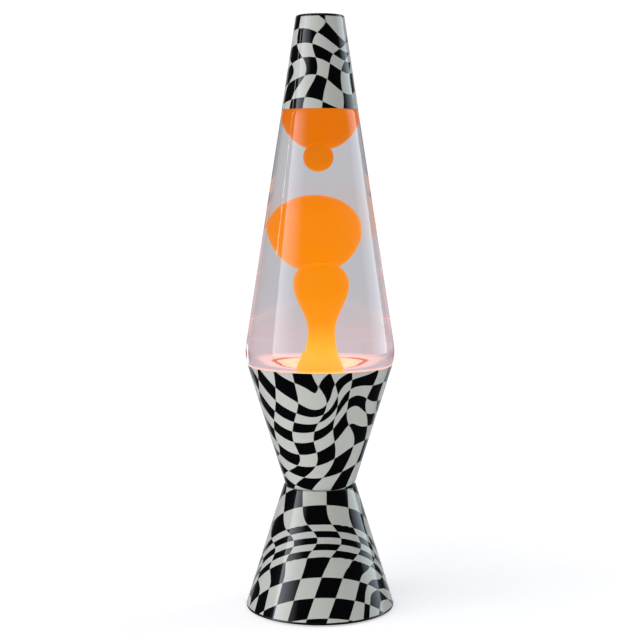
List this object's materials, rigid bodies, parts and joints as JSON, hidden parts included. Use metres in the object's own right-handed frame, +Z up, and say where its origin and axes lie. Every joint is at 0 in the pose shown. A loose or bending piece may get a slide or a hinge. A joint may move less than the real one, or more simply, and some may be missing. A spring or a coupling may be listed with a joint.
{
  "type": "motion lamp",
  "caption": "Tapered glass globe of clear fluid and glowing wax on an hourglass sheet-metal base with a screw-in bulb, under a tapered metal cap.",
  "frame": {"origin": "middle of the footprint, on the surface the rubber feet stand on", "axes": "+Z up the lamp's axis; front towards -Y, cable gland towards +Y"},
  "size_m": [0.0932, 0.0932, 0.3683],
  "materials": {
    "base_print": "glossy printed sheet metal",
    "cap_print": "glossy printed sheet metal",
    "clear_glass": "polished clear glass",
    "bulb_glass": "clear thin glass",
    "fluid": "clear liquid",
    "wax": "soft translucent wax, lit from below",
    "crown_steel": "gloss lacquer",
    "liner": "soft liner",
    "wire_steel": "drawn wire",
    "plated_steel": "bright zinc plate",
    "holder_plastic": "moulded phenolic",
    "contact_brass": "stamped brass",
    "bulb_metal": "rolled thin metal",
    "cover_plastic": "fine matt grain",
    "rubber": "matt"
  },
  "bodies": {
    "base": {"cup_shell": "base_print", "cone_shell": "base_print", "tie_plate": "plated_steel", "tie_screws": "plated_steel", "tie_nuts": "plated_steel", "holder_body": "holder_plastic", "holder_ring": "holder_plastic", "socket_shell": "contact_brass", "contact_spring": "wire_steel", "terminal_strips": "contact_brass", "terminal_screws": "contact_brass", "bottom_cover": "cover_plastic", "rubber_feet": "rubber", "cord_grommet": "rubber"},
    "globe": {"globe_glass": "clear_glass", "crown_cap": "crown_steel", "crown_liner": "liner", "clear_fluid": "fluid", "wax_crest": "wax", "wax_column": "wax", "pool_coil": "wire_steel"},
    "cap": {"cap_shell": "cap_print"},
    "contact": {"centre_contact": "contact_brass"},
    "bulb": {"bulb_contact_tip": "bulb_metal", "bulb_insulator": "holder_plastic", "bulb_screw_shell": "bulb_metal", "bulb_envelope": "bulb_glass", "bulb_stem": "bulb_glass", "bulb_leads": "wire_steel", "bulb_filament": "wire_steel"},
    "wax_ball": {"wax_ball": "wax"},
    "wax_blob": {"wax_blob": "wax"}
  },
  "joints": [
    {"name": "globe_lift", "type": "slide", "parent": "base", "child": "globe", "axis": [0, 0, 1], "range_m": [0, 0.06]},
    {"name": "cap_lift", "type": "slide", "parent": "globe", "child": "cap", "axis": [0, 0, 1], "range_m": [0, 0.06]},
    {"name": "contact_rise", "type": "slide", "parent": "base", "child": "contact", "axis": [0, 0, 1], "range_m": [0, 0.00283], "deforming": ["contact_spring"]},
    {"name": "bulb_turn", "type": "hinge", "parent": "contact", "child": "bulb", "pos_m": [0, 0, 0.08], "axis": [0, 0, 1], "range_deg": [0, 360]},
    {"name": "wax_ball_drift", "type": "slide", "parent": "globe", "child": "wax_ball", "axis": [0, 0, 1], "range_m": [-0.006, 0.001], "deforming": ["clear_fluid"]},
    {"name": "wax_blob_drift", "type": "slide", "parent": "globe", "child": "wax_blob", "axis": [0, 0, 1], "range_m": [-0.003, 0.004], "deforming": ["clear_fluid"]}
  ],
  "couplings": [
    {"joint": "contact_rise", "follows": "bulb_turn", "m_per_rad": 0.00044913}
  ]
}
